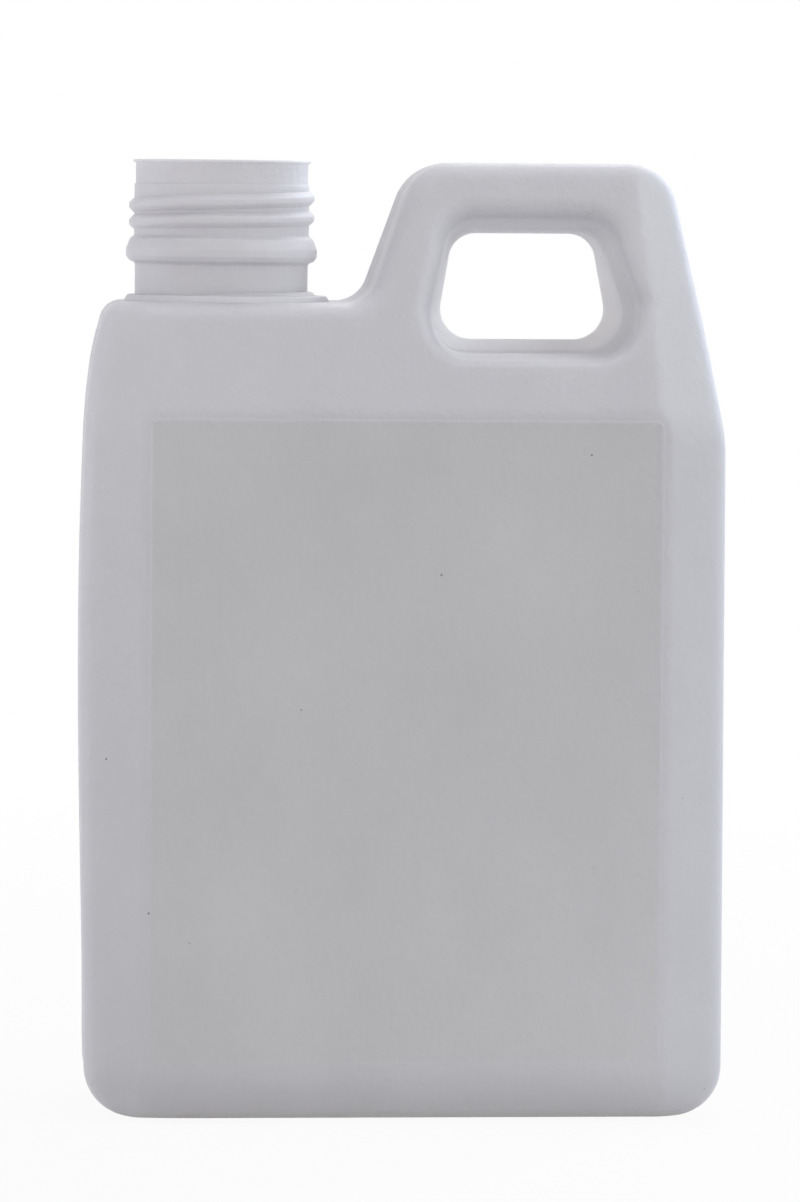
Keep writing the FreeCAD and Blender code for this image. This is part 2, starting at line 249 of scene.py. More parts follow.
def funnel_rings(step, inset, detail):
    """Rings from the punched edge up the funnel and over its mouth: (points, depths)."""
    counts = loop_counts(funnel_foot, step)
    rings = []
    points, rays = loop_points(funnel_foot, 0, counts)
    upwards, to_neck = np.clip(rays[:, 1], 0, 1), np.clip(-rays[:, 0], 0, 1)
    draft = np.radians(plain_draft + 6.5 * upwards + 1.5 * to_neck)
    tan, cos, sin = np.tan(draft), np.cos(draft), np.sin(draft)
    if inset == 0:
        edge, _ = loop_points(punched_edge, 0, counts)
        for share, depth in ((0.0, web_half - 0.3), (0.06, web_half - 0.12),
                             (0.15, web_half - 0.02)):
            ring = edge + share * (points - edge)
            rings.append((ring, np.full(len(ring), depth)))
        reach = web_fillet * np.tan(math.pi / 4 - draft / 2)
        for share in np.linspace(0, 1, 5):
            angle = (math.pi / 2 - draft) * share
            out = web_fillet * np.sin(angle) - reach
            depth = web_half + web_fillet * (1 - np.cos(angle))
            rings.append((points + out[:, None] * rays, depth))
        low, shift = web_half + web_fillet * (1 - sin), 0.0
    else:
        low, shift = 0.0, inset / cos
    outer_low = np.clip(rays[:, 0], 0, 1) * (1 - smooth((points[:, 1] - 150.0) / 28.0))
    radius = plain_roll + 2.5 * upwards + 1.6 * to_neck + 1.3 * outer_low - inset
    near = points + (shift * rays if inset == 0 else shift[:, None] * rays)
    span = 4.5 + 3.5 * upwards + 2.5 * to_neck   # over which the face's slope is taken
    far = points + span[:, None] * rays
    start = face_depth(near[:, 0], near[:, 1], False) - inset * 1.03
    rise = (face_depth(far[:, 0], far[:, 1], False) - inset * 1.03 - start) / (span - shift)
    level = 1 / np.sqrt(1 + rise ** 2)
    start = start - rise * shift
    centre = ((radius / cos + shift - web_half * tan
               + (start - radius / level) * tan) / (1 - rise * tan))
    height = start + rise * centre - radius / level
    top = height + radius * sin
    spans = 5 if inset == 0 else 3
    for share in np.linspace(0, 1, spans + 1)[(1 if inset == 0 else 0):-1]:
        depth = low + (top - low) * share
        out = shift + (depth - web_half) * tan
        rings.append((points + out[:, None] * rays, depth))
    first = math.pi - draft
    last = np.arctan2(level, -rise * level)
    spans = 11 if inset == 0 else 5
    for share in np.linspace(0, 1, spans + 1):
        angle = first + (last - first) * share
        spot = points + (centre + radius * np.cos(angle))[:, None] * rays
        depth = height + radius * np.sin(angle)
        rings.append((spot, depth))
    true = face_depth(spot[:, 0], spot[:, 1], detail) - inset * 1.03
    gap = true - rings[-1][1]
    for back, share in enumerate(np.linspace(1, 0, spans + 1)):
        spot, depth = rings[-1 - back]
        rings[-1 - back] = (spot, depth + gap * share ** 2)
    return rings


# %% [markdown]
# ## The flat pieces in between
# Between the last ring inside the rim and the last ring round the funnel lies open face.
# It is filled with a net of points, close together only where the face bends, and joined
# by a constrained Delaunay triangulation that keeps the two rings as its borders.

# %% Net of points over the open face
def graded(low, high, coarse, fine):
    """Positions from low to high, one coarse step apart, with close ones added."""
    plain = np.arange(low, high + coarse / 2, coarse)
    near = np.concatenate([np.arange(a, b + step / 2, step) for a, b, step in fine])
    keep = [p for p in plain if np.min(np.abs(near - p)) > coarse * 0.4]
    return np.sort(np.concatenate([keep, near]))


def within(points, loop):
    """True for points inside a closed loop."""
    x, z = points[:, 0][:, None], points[:, 1][:, None]
    x0, z0 = loop[:, 0], loop[:, 1]
    x1, z1 = np.roll(x0, -1), np.roll(z0, -1)
    crosses = ((z0 > z) != (z1 > z)) & (x < (x1 - x0) * (z - z0) / (z1 - z0 + 1e-30) + x0)
    return crosses.sum(axis=1) % 2 == 1


def clearance(points, loop):
    return np.array([np.min(np.hypot(*(loop - point).T)) for point in points])


def upper_bend(step):
    """Points along the facets' bends above the face's break, where the bend leans in."""
    return np.array([(side * (float(facet_line(side, z)) + offset), z)
                     for side in (-1, 1) for z in np.arange(face_break - 4, 192, step)
                     for offset in (-1.4, -0.9, -0.45, 0.0, 0.45, 0.9, 1.4)])


def fill(rim, mouth, coarse, detail):
    """Triangles between two rings: extra points, then faces over rim, mouth and extras."""
    facet = [(side * facet_start - 1.6, side * facet_start + 1.6, 0.53) for side in (-1, 1)]
    columns = graded(-62, 62, coarse, facet)
    rows = graded(6, 192, coarse, [(face_break - 2, face_break + 2, 0.66),
                                   (4.8, 13.0, 1.1)])
    net = np.array([(x, z) for x in columns for z in rows])
    if detail:
        aside = np.abs(np.abs(net[:, 0]) - facet_line(net[:, 0], net[:, 1]))
        net = net[(aside > 1.9) | (net[:, 1] < face_break - 5)]
        net = np.concatenate([net, upper_bend(1.6)])
    net = net[within(net, rim) & ~within(net, mouth)]
    margin = coarse * 0.28
    net = net[(clearance(net, rim) > margin) & (clearance(net, mouth) > margin)]
    loops = []
    if detail:
        inner = inside_box(net[:, 0], net[:, 1], panel_box)
        net = net[(inner < -0.9) | (inner > 1.6)]
        half, bottom, top, corner = panel_box
        frame_corners = [(-half, bottom, corner), (half, bottom, corner),
                         (half, top, corner), (-half, top, corner)]
        counts = loop_counts(frame_corners, 3.0)
        for inset in (-0.55, -0.38, -0.25, -0.13, 0.0, 0.13, 0.25, 0.38, 0.55, 0.85):
            loops.append(loop_points(frame_corners, inset, counts)[0])
    parts = [rim, mouth] + loops + [net]
    starts = np.cumsum([0] + [len(part) for part in parts])
    edges = []
    for part, start in zip(parts[:-1], starts):
        around = np.arange(len(part))
        edges += [(int(start + i), int(start + (i + 1) % len(part))) for i in around]
    spots = [Vector((float(x), float(z))) for x, z in np.concatenate(parts)]
    out, _, faces, origin, _, _ = delaunay_2d_cdt(spots, edges, [], 1, 1e-6)
    fixed = len(rim) + len(mouth)
    place, extra = {}, []
    for index, sources in enumerate(origin):
        if sources and sources[0] < fixed:
            place[index] = sources[0]
        else:
            place[index] = fixed + len(extra)
            extra.append((out[index].x, out[index].y))
    middles = np.array([sum((out[i] for i in face), Vector((0, 0))) / len(face)
                        for face in faces])
    keep = within(middles, rim) & ~within(middles, mouth)
    faces = [[place[i] for i in face] for face, good in zip(faces, keep) if good]
    return np.array(extra), faces


# %% [markdown]
# ## One skin
# The outer and the inner surface of the plastic are made by the same steps, the inner one
# a wall thickness further in and coarser. A front half is built from rings and net, the
# back half is its mirror image, and strips run across the sides, the base and the hole.

# %% Building a skin
# how far inside the outline each ring of the rim lies, and where along the depth, as a
# share of it, each line across the sides lies
rim_rings = 4.2 * (np.arange(13) / 12) ** 2
strip_places = [1.0, 0.86, 0.7, 0.62, 0.56, 0.5, 0.44, 0.25, 0.035, 0.014]
# the parting line: its height, and its half width as a share of the depth
parting_height, parting_share = 0.13, 0.02
# the push-up of the base and the seam across it
push_half, push_x, push_height, push_run = (47.2, 11.6), 0.5, 1.6, 2.4
seam_reach, seam_half, seam_height = 46.0, 0.7, 0.55


def base_lift(x, y):
    """Push-up of the base inside its standing rim, with the pinched seam across it."""
    inner = np.minimum(push_half[0] - np.abs(x - push_x), push_half[1] - np.abs(y))
    seam = smooth((seam_reach - np.abs(x)) / 4) * np.exp(-(y / seam_half) ** 4)
    return push_height * smooth(inner / push_run) - seam_height * seam


def skin(inset, step, rings, coarse, detail):
    counts = loop_counts(outline, step)
    radius = edge_round - inset
    verts, faces = [], []

    def add(points, depth):
        start = sum(len(part) for part in verts)
        verts.append(np.stack([points[:, 0], depth, points[:, 1]], axis=1))
        return np.arange(start, start + len(points))

    def join(first, second):
        after, following = np.roll(first, -1), np.roll(second, -1)
        faces.extend(np.stack([first, after, following, second], axis=1).tolist())

    bands = []
    for distance in rings:
        points, rays = loop_points(outline, inset + distance, counts)
        depth = rim_depth(points, rays, distance, radius, detail, inset)
        bands.append((points, depth, rays))
    mouth = funnel_rings(step, inset, detail)
    extra, flat = fill(bands[-1][0], mouth[-1][0], coarse, detail)
    for side in (-1, 1):
        rim_ids = [add(points, side * depth) for points, depth, _ in bands]
        for first, second in zip(rim_ids, rim_ids[1:]):
            join(first, second)
        if inset and side == 1:
            hole_ids = [shared] + [add(points, side * depth) for points, depth in mouth[1:]]
        else:
            hole_ids = [add(points, side * depth) for points, depth in mouth]
        shared = hole_ids[0]
        for first, second in zip(hole_ids, hole_ids[1:]):
            join(first, second)
        depth = face_depth(extra[:, 0], extra[:, 1], detail) - inset * 1.02
        more = add(extra, side * depth)
        ids = np.concatenate([rim_ids[-1], hole_ids[-1], more])
        faces.extend([[int(ids[i]) for i in face] for face in flat])
        if side == -1:
            front_rim, front_hole = rim_ids[0], hole_ids[0]
    points, depth, rays = bands[0]
    strip = [front_rim]
    across = strip_places[1:] + [0.0] + [-place for place in strip_places[:0:-1]]
    for place in across:
        parting = parting_height * math.exp(-(place / parting_share) ** 2) if detail else 0.0
        moved = points + parting * rays
        flat_base = rays[:, 1] < -0.9999
        lift = base_lift(points[:, 0], depth * place)
        moved[flat_base, 1] = points[flat_base, 1] + lift[flat_base]
        strip.append(add(moved, -depth * place))
    strip.append(rim_ids[0])
    for first, second in zip(strip, strip[1:]):
        join(first, second)
    if inset == 0:
        join(front_hole, hole_ids[0])
    return np.concatenate(verts) * MM, faces


def mesh_object(name, verts, faces):
    """A closed mesh, its doubles merged and its faces turned outwards."""
    mesh = bpy.data.meshes.new(name)
    mesh.from_pydata(verts.tolist(), [], faces)
    work = bmesh.new()
    work.from_mesh(mesh)
    bmesh.ops.remove_doubles(work, verts=work.verts, dist=1e-6)
    bmesh.ops.recalc_face_normals(work, faces=work.faces)
    open_edges = sum(1 for edge in work.edges if len(edge.link_faces) != 2)
    if work.calc_volume(signed=True) < 0:
        bmesh.ops.reverse_faces(work, faces=work.faces)
    print(name, len(work.verts), "points", len(work.faces), "faces", open_edges, "open edges",
          round(work.calc_volume() * 1e6, 2), "cubic cm")
    work.to_mesh(mesh)
    work.free()
    thing = bpy.data.objects.new(name, mesh)
    bpy.context.scene.collection.objects.link(thing)
    return thing


outer = mesh_object("outer_skin", *skin(0.0, 1.0, rim_rings, 3.4, True))
inner = mesh_object("inner_skin", *skin(wall, 2.4, rim_rings[::2] * 0.7, 6.0, False))

# %% [markdown]
# ## The neck
# The neck is moulded to size between the mould's inserts, so it is crisper than the body: a
# thin round step on the shoulder, a plain collar, a stout bead with a slanted top, the
# thread, a plain land and a thin lip. The step is formed by the body's halves and not by the
# neck's insert, so it lies a little off the neck's axis. All of it is round, so a profile is
# turned about an axis. Small arcs soften the profile's corners, as polymer never fills a
# sharp one.

# %% Turning a profile
def rounded_profile(corners, spans=4):
    """Open line of (radius, height) with each corner rounded by its third number."""
    line = [np.array(corners[0][:2])]
    for before, here, after in zip(corners, corners[1:], corners[2:]):
        spot, first, last = (np.array(c[:2]) for c in (here, before, after))
        into, out = spot - first, last - spot
        into, out = into / np.hypot(*into), out / np.hypot(*out)
        turn = math.acos(max(-1.0, min(1.0, float(into @ out))))
        reach = here[2] * math.tan(turn / 2)
        if here[2] == 0:
            line.append(spot)
            continue
        middle = spot + (out - into) / np.hypot(*(out - into)) * here[2] / math.cos(turn / 2)
        start = spot - into * reach - middle
        side = math.copysign(1.0, into[0] * out[1] - into[1] * out[0])
        for share in np.linspace(0, 1, spans + 1):
            angle = side * turn * share
            line.append(middle + np.array([
                start[0] * math.cos(angle) - start[1] * math.sin(angle),
                start[0] * math.sin(angle) + start[1] * math.cos(angle)]))
    line.append(np.array(corners[-1][:2]))
    return np.array(line)


def turned(profile, segments, shift=0.0):
    """Closed solid of revolution about the neck's axis, from a profile (radius, height)."""
    angle = np.linspace(0, 2 * math.pi, segments, endpoint=False)
    verts, faces = [], []
    for radius, height in profile:
        verts.append(np.stack([neck_x + shift + radius * np.cos(angle), radius * np.sin(angle),
                               np.full(segments, height)], axis=1))
    for row in range(len(profile) - 1):
        here = row * segments + np.arange(segments)
        after = row * segments + (np.arange(segments) + 1) % segments
        faces += np.stack([here, after, after + segments, here + segments], axis=1).tolist()
    faces.append(list(range(segments)))
    faces.append([(len(profile) - 1) * segments + i for i in range(segments)])
    return np.concatenate(verts) * MM, faces


neck_segments = 224
step_shift = 1.15
neck_profile = rounded_profile([
    (15.0, 163.8, 0.0), (17.7, 163.8, 0.0), (17.7, 165.5, 0.0),
    (17.7, 174.0, 0.8), (18.9, 174.45, 0.6), (19.55, 175.4, 0.5), (19.55, 176.9, 0.8),
    (18.75, 178.9, 0.6), (17.9, 179.6, 0.6), (17.9, 190.1, 0.25), (17.63, 190.15, 0.1),
    (17.63, 194.4, 0.25), (18.15, 194.5, 0.12), (18.15, 195.0, 0.15), (15.0, 195.0, 0.0),
])
neck = mesh_object("neck", *turned(neck_profile, neck_segments))
step_profile = rounded_profile([
    (15.5, 164.2, 0.0), (21.1, 164.2, 0.0), (21.1, 166.3, 0.5), (20.35, 167.5, 0.5),
    (18.3, 167.5, 0.5), (17.6, 168.2, 0.0), (16.5, 168.4, 0.0),
])
collar_step = mesh_object("collar_step", *turned(step_profile, neck_segments, step_shift))
bore_profile = rounded_profile([
    (14.0, 158.0, 0.0), (15.9, 160.0, 0.5), (15.9, 194.7, 0.3), (16.4, 195.2, 0.0),
    (16.4, 196.0, 0.0),
])
bore = mesh_object("bore", *turned(bore_profile, 160))

# %% [markdown]
# ## Nodes
# Materials and Geometry Nodes are trees of nodes. Building them in a script needs only one
# kind of step, adding a node with its settings and its links, so one small function does
# it, and a few more keep the arithmetic readable.

# %% A node with its settings and links
def add_node(tree, kind, inputs=None, **settings):
    """Adds one node: settings are its properties, inputs are plain values or sockets."""
    made = tree.nodes.new(kind)
    for name, value in settings.items():
        setattr(made, name, value)
    for name, value in (inputs or {}).items():
        if isinstance(value, bpy.types.NodeSocket):
            tree.links.new(value, made.inputs[name])
        else:
            made.inputs[name].default_value = value
    return made


# %% Arithmetic and colours in a tree
def math_node(tree, operation, *values, **settings):
    return add_node(tree, "ShaderNodeMath", dict(enumerate(values)), operation=operation,
                    **settings).outputs[0]


def ramp(tree, value, low, high, first=0.0, last=1.0, **settings):
    """Takes low..high to first..last, and holds the ends."""
    return add_node(tree, "ShaderNodeMapRange", {
        "Value": value, "From Min": low, "From Max": high, "To Min": first, "To Max": last},
        **settings).outputs[0]


def between(tree, value, low, high, edge):
    """1 between low and high, 0 outside, with a soft edge."""
    return math_node(tree, "MULTIPLY", ramp(tree, value, low - edge, low + edge),
                     ramp(tree, value, high - edge, high + edge, 1.0, 0.0))


def blend(tree, share, first, second):
    return add_node(tree, "ShaderNodeMix", {0: share, 6: first, 7: second},
                    data_type="RGBA").outputs[2]


def linear(text):
    """An sRGB hex colour as linear red, green, blue and alpha."""
    parts = [int(text[i:i + 2], 16) / 255 for i in (1, 3, 5)]
    return (*[p / 12.92 if p <= 0.04045 else ((p + 0.055) / 1.055) ** 2.4 for p in parts], 1.0)


print("linear value of a mid grey:", round(linear("#808080")[0], 4))

# %% [markdown]
# ## Natural HDPE
# Natural HDPE has no pigment. It is milky because its crystals scatter light, and a blown
# wall of it lets a little light through, so its shadows are soft and never black. The
# shader is a pale grey with scattering below the surface. All patterns use the object's
# own coordinates, so they stay on the can wherever it stands.

# %% The material and its places
plastic = bpy.data.materials.new("natural_hdpe_blow_moulded")
plastic.use_nodes = True
hdpe = plastic.node_tree
shader = hdpe.nodes["Principled BSDF"]
place = add_node(hdpe, "ShaderNodeTexCoord").outputs["Object"]
axes = add_node(hdpe, "ShaderNodeSeparateXYZ", {"Vector": place}).outputs


def stretched(*sizes):
    """The object's coordinates with these lengths, in millimetres, counted as 1."""
    scale = [1 / (size * MM) for size in sizes]
    return add_node(hdpe, "ShaderNodeMapping", {"Vector": place, "Scale": scale}).outputs[0]


def in_box(left, right, low, high, edge_x, edge_z):
    """1 inside a box in the front view, 0 outside, with soft edges; in millimetres."""
    return math_node(
        hdpe, "MULTIPLY", between(hdpe, axes["X"], left * MM, right * MM, edge_x * MM),
        between(hdpe, axes["Z"], low * MM, high * MM, edge_z * MM))


def noise(sizes, detail, roughness):
    return add_node(hdpe, "ShaderNodeTexNoise", {
        "Vector": stretched(*sizes), "Scale": 1.0, "Detail": detail,
        "Roughness": roughness}).outputs["Fac"]


# %% [markdown]
# The wall is not equally thick everywhere, so the grey drifts a little over some
# centimetres. The label panel is painted with shade: its grey is made darker and more
# neutral than the face around it, most towards the top of the panel.

# %% Clouds, and painted shade on the panel
clouds = ramp(hdpe, noise((35, 35, 50), 4.0, 0.6), 0.3, 0.7)
colour = blend(hdpe, clouds, linear("#CBCACE"), linear("#D2D1D5"))
shade_at_foot, shade_at_top, less_blue = 0.99, 0.938, 0.972
half, bottom, top, _ = panel_box
bead_foot, panel_edge = 0.45, 0.3
panel = in_box(bead_foot - half, half - bead_foot, bottom + bead_foot, top - bead_foot,
               panel_edge, panel_edge)
depth = math_node(hdpe, "ABSOLUTE", axes["Y"])
faces = math_node(hdpe, "GREATER_THAN", depth, (half_depth - 3.0) * MM)
panel = math_node(hdpe, "MULTIPLY", panel, faces)
# painted shade: the panel's grey is made darker, most towards its top, and less blue
panel_shade_ramp = ramp(hdpe, axes["Z"], bottom * MM, top * MM, shade_at_foot, shade_at_top)
darker = add_node(hdpe, "ShaderNodeCombineXYZ", {
    "X": panel_shade_ramp, "Y": panel_shade_ramp, "Z": math_node(hdpe, "MULTIPLY", panel_shade_ramp, less_blue)})
panel_shaded_colour = add_node(hdpe, "ShaderNodeVectorMath", {0: colour, 1: darker.outputs[0]},
                        operation="MULTIPLY")
colour = blend(hdpe, panel, colour, panel_shaded_colour.outputs[0])
print("panel tone as a share of the face's:", shade_at_foot, "to", shade_at_top)

# %% [markdown]
# In the weld web the two walls are one thin sheet with a white room behind it. Light comes
# through the sheet and through the funnel near it, and also through the side of the neck
# that the handle shades. Such long ways inside the plastic are more than the shader's own
# scattering covers, so they are painted in: the web's grey is painted paler, and a faint
# glow is painted light on the web, the funnel and the shaded side of the neck.

# %% Painted light on the web, funnel and neck
glow_low, glow_high, glow_neck = 0.09, 0.055, 0.08
# painted light: the web's grey is made paler where the funnel shades it
web = math_node(hdpe, "MULTIPLY", in_box(1, 52, 154, 184, 1, 1),
                between(hdpe, axes["Y"], -2.2 * MM, 2.2 * MM, 0.9 * MM))
colour = blend(hdpe, web, colour, linear("#E9E8EB"))
funnel = in_box(1, 52, 152, 189, 1, 1)
through = math_node(
    hdpe, "MULTIPLY", ramp(hdpe, axes["Z"], 176 * MM, 184 * MM, glow_low, glow_high),
    ramp(hdpe, depth, 1 * MM, 16 * MM, 1.0, 0.0))
neck_side = in_box(-24.5, -12.5, 168.5, 197, 4, 1)
# painted light: a glow on the funnel near the web and on the side of the neck that the handle
# shades
glow = math_node(hdpe, "ADD", math_node(hdpe, "MULTIPLY", funnel, through),
                 math_node(hdpe, "MULTIPLY", neck_side, glow_neck))
hdpe.links.new(glow, shader.inputs["Emission Strength"])
print("glow of the web, where a white card in full light is 1:", glow_low)

# %% [markdown]
# A few tiny dark specks are bits of burnt plastic that come out of every extruder. They lie
# anywhere in a grid of 11 mm cells, and only where one meets the surface is it seen.

# %% Specks
grain = add_node(hdpe, "ShaderNodeTexVoronoi", {"Vector": stretched(11, 11, 11), "Scale": 1.0})
speck = ramp(hdpe, grain.outputs["Distance"], 0.016, 0.027, 0.75, 0.0)
colour = blend(hdpe, speck, colour, linear("#5A5652"))
hdpe.links.new(colour, shader.inputs["Base Color"])

# %% [markdown]
# The mould is sand-blasted so that air can escape, which leaves a waxy, matt skin with a
# faint orange peel about 1.6 mm across. The tube's flow leaves long shallow streaks that
# run down the can. Both are far shallower than they are wide, so a bump is enough. The
# refractive index of HDPE is 1.54. Light wanders about 4 mm inside it, a little less in
# blue, which makes thin edges look warmer.

# %% Surface
streaks = add_node(hdpe, "ShaderNodeBump", {
    "Height": noise((6, 6, 90), 2.0, 0.5), "Strength": 0.5, "Distance": 0.25 * MM})
peel = add_node(hdpe, "ShaderNodeBump", {
    "Height": noise((1.6, 1.6, 1.6), 3.0, 0.55), "Strength": 1.0, "Distance": 0.2 * MM,
    "Normal": streaks.outputs[0]})
hdpe.links.new(peel.outputs[0], shader.inputs["Normal"])
for name, value in {"Roughness": 0.48, "IOR": 1.54, "Subsurface Weight": 0.6,
                    "Subsurface Scale": 4 * MM,
                    "Subsurface Radius": (1.0, 0.95, 0.9)}.items():
    shader.inputs[name].default_value = value
print("nodes in the plastic:", len(hdpe.nodes))

# %% [markdown]
# ## The thread
# The thread is a right-hand ridge that climbs the neck and fades out at both ends, so that
# a cap can start on it. It follows a path, which is what Geometry Nodes are good at: a line
# of points is bent into a helix, and a rounded ridge section is carried along it. Near its
# ends the helix sinks into the neck, which fades the ridge out.

# %% The thread's tree
def thread_tree(sizes):
    tree = bpy.data.node_groups.new("moulded_thread", "GeometryNodeTree")
    sockets = {}
    for name, value in sizes.items():
        socket = tree.interface.new_socket(name, in_out="INPUT",
                                           socket_type="NodeSocketFloat")
        socket.default_value = value
        sockets[name] = socket.identifier
    material = tree.interface.new_socket("Material", in_out="INPUT",
                                         socket_type="NodeSocketMaterial")
    sockets["Material"] = material.identifier
    tree.interface.new_socket("Geometry", in_out="OUTPUT", socket_type="NodeSocketGeometry")
    given = tree.nodes.new("NodeGroupInput").outputs

    def calc(operation, *values):
        return math_node(tree, operation, *values)

    count, sag_reach = 420, 0.3   # points along the helix, half width of the sag in turns
    share = calc("DIVIDE", add_node(tree, "GeometryNodeInputIndex").outputs[0], count - 1.0)
    run = calc("MULTIPLY", share, given["Turns"])
    left = calc("MINIMUM", run, calc("SUBTRACT", given["Turns"], run))
    fade = ramp(tree, left, 0.0, given["Run-out"], interpolation_type="SMOOTHSTEP")
    sunk = calc("MULTIPLY", calc("SUBTRACT", 1.0, fade), given["Ridge height"])
    reach = calc("SUBTRACT", given["Root radius"], sunk)
    angle = calc("ADD", given["Start angle"], calc("MULTIPLY", run, 2 * math.pi))
    away = calc("DIVIDE", calc("SUBTRACT", run, given["Sag place"]), sag_reach)
    sag = calc("MULTIPLY", given["Sag"], calc("EXPONENT", calc(
        "MULTIPLY", calc("MULTIPLY", away, away), -1.0)))
    height = calc("SUBTRACT", calc("MULTIPLY", run, given["Pitch"]), sag)
    place = add_node(tree, "ShaderNodeCombineXYZ", {
        "X": calc("MULTIPLY", reach, calc("COSINE", angle)),
        "Y": calc("MULTIPLY", reach, calc("SINE", angle)),
        "Z": calc("ADD", given["Start height"], height)})
    line = add_node(tree, "GeometryNodeMeshLine", {"Count": count})
    helix = add_node(tree, "GeometryNodeSetPosition", {
        "Geometry": line.outputs[0], "Position": place.outputs[0]})
    path = add_node(tree, "GeometryNodeMeshToCurve", {"Mesh": helix.outputs[0]})
    upright = add_node(tree, "GeometryNodeSetCurveNormal", {"Curve": path.outputs[0]},
                       mode="Z_UP")
    section = add_node(tree, "GeometryNodeCurvePrimitiveQuadrilateral", {
        "Height": calc("ADD", given["Ridge height"], given["Sink"]),
        "Bottom Width": given["Base width"], "Top Width": given["Crest width"],
        "Offset": 0.0}, mode="TRAPEZOID")
    soft = add_node(tree, "GeometryNodeFilletCurve", {
        "Curve": section.outputs[0], "Radius": given["Rounding"], "Count": 4}, mode="POLY")
    lifted = add_node(tree, "GeometryNodeTransform", {
        "Geometry": soft.outputs[0], "Rotation": (0.0, 0.0, -math.pi / 2),
        "Translation": add_node(tree, "ShaderNodeCombineXYZ", {
            "X": calc("MULTIPLY", calc("SUBTRACT", given["Ridge height"], given["Sink"]),
                      0.5)}).outputs[0]})
    ridge = add_node(tree, "GeometryNodeCurveToMesh", {
        "Curve": upright.outputs[0], "Profile Curve": lifted.outputs[0], "Fill Caps": True})
    real = add_node(tree, "GeometryNodeRealizeInstances", {"Geometry": ridge.outputs[0]})
    dressed = add_node(tree, "GeometryNodeSetMaterial", {
        "Geometry": real.outputs[0], "Material": given["Material"]})
    out = tree.nodes.new("NodeGroupOutput")
    tree.links.new(dressed.outputs[0], out.inputs[0])
    return tree, sockets


thread_sizes = {
    "Pitch": 3.4 * MM, "Turns": 1.8, "Root radius": 17.9 * MM, "Ridge height": 1.07 * MM,
    "Base width": 5.5 * MM, "Crest width": 1.1 * MM, "Rounding": 0.7 * MM,
    "Sink": 1.3 * MM, "Start angle": math.radians(126), "Start height": 181.8 * MM,
    "Run-out": 0.08, "Sag": 0.6 * MM, "Sag place": 0.65,
}


def made_by(tree, sockets, values, name):
    """A plain mesh object made by a tree, with the modifier gone."""
    carrier = bpy.data.objects.new(name + "_maker", bpy.data.meshes.new(name + "_maker"))
    bpy.context.scene.collection.objects.link(carrier)
    modifier = carrier.modifiers.new("maker", "NODES")
    modifier.node_group = tree
    for key, value in values.items():
        modifier[sockets[key]] = value
    ready = carrier.evaluated_get(bpy.context.evaluated_depsgraph_get())
    mesh = bpy.data.meshes.new_from_object(ready)
    carrier.modifiers.remove(modifier)
    bpy.data.objects.remove(carrier)
    return mesh


tree, sockets = thread_tree(thread_sizes)
ridge_mesh = made_by(tree, sockets, {**thread_sizes, "Material": plastic}, "thread")
spots = np.array([v.co for v in ridge_mesh.vertices]) / MM
reach = np.hypot(spots[:, 0], spots[:, 1])
print("thread radius", reach.min().round(2), reach.max().round(2), "height",
      spots[:, 2].min().round(2), spots[:, 2].max().round(2))

# %% [markdown]
# ## Joining and hollowing
# The can is one skin, so its solids are joined into one: the neck and its thread are added
# to the outer skin, and the inner skin and the bore are taken out of it. What is left is
# plastic everywhere, as in the real can, and light passes through it as it does there.

# %% Cutting one solid out of another, or adding it
def combine(base, other, operation):
    modifier = base.modifiers.new(operation, "BOOLEAN")
    modifier.object, modifier.operation, modifier.solver = other, operation, "MANIFOLD"
    ready = base.evaluated_get(bpy.context.evaluated_depsgraph_get())
    mesh = bpy.data.meshes.new_from_object(ready)
    base.modifiers.remove(modifier)
    base.data = mesh
    bpy.data.objects.remove(other)
    return base


thread = bpy.data.objects.new("thread", ridge_mesh)
bpy.context.scene.collection.objects.link(thread)
thread.data.transform(Matrix.Translation((neck_x * MM, 0, 0)))
combine(neck, thread, "UNION")
combine(neck, collar_step, "UNION")
# the neck leans by a quarter of a degree about its foot, as the pinch line pulls it
foot = Matrix.Translation((neck_x * MM, 0, 167 * MM))
lean = foot @ Matrix.Rotation(math.radians(0.25), 4, "Y") @ foot.inverted()
for part in (neck, bore):
    part.data.transform(lean)
combine(outer, neck, "UNION")
combine(inner, bore, "UNION")
combine(outer, inner, "DIFFERENCE")
can = outer
can.name = "can_blown_shell"
can.data.name = "can_blown_shell"


def report(thing):
    work = bmesh.new()
    work.from_mesh(thing.data)
    loose = sum(1 for edge in work.edges if len(edge.link_faces) != 2)
    print(thing.name, len(work.faces), "faces", loose, "open edges",
          round(work.calc_volume() * 1e6, 2), "cubic cm of plastic",
          sum(len(face.verts) - 2 for face in work.faces), "triangles")
    work.free()


report(can)
for face in can.data.polygons:
    face.use_smooth = True
sharpest_bend = math.radians(38)
can.data.set_sharp_from_angle(angle=sharpest_bend)

# %% [markdown]
# ## One piece, one material
# The skin rides on the can's root, stands for the solid of the same piece, and its one
# material is the plastic it is blown from.

# %% Dressing the can and telling the frame
can.data.materials.clear()
can.data.materials.append(plastic)
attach(can, "root")
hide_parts("can_body")

# %% [markdown]
# ## Floor and background
# The can stands on a translucent white table that is lit from below, in a white tent. To
# the camera the floor is mostly a plain white glow, with a share of matt white under it,
# which keeps the can's soft shadow. To all other light the table and the tent are dimmer,
# because a can in an evenly bright room would show no form.

# %% What the camera sees as plain white
def seen_white(tree):
    """1 for rays that show the background itself, straight, mirrored or through."""
    rays = add_node(tree, "ShaderNodeLightPath").outputs
    straight = math_node(tree, "ADD", rays["Is Camera Ray"], rays["Is Glossy Ray"])
    return math_node(tree, "ADD", straight, rays["Is Transmission Ray"], use_clamp=True)


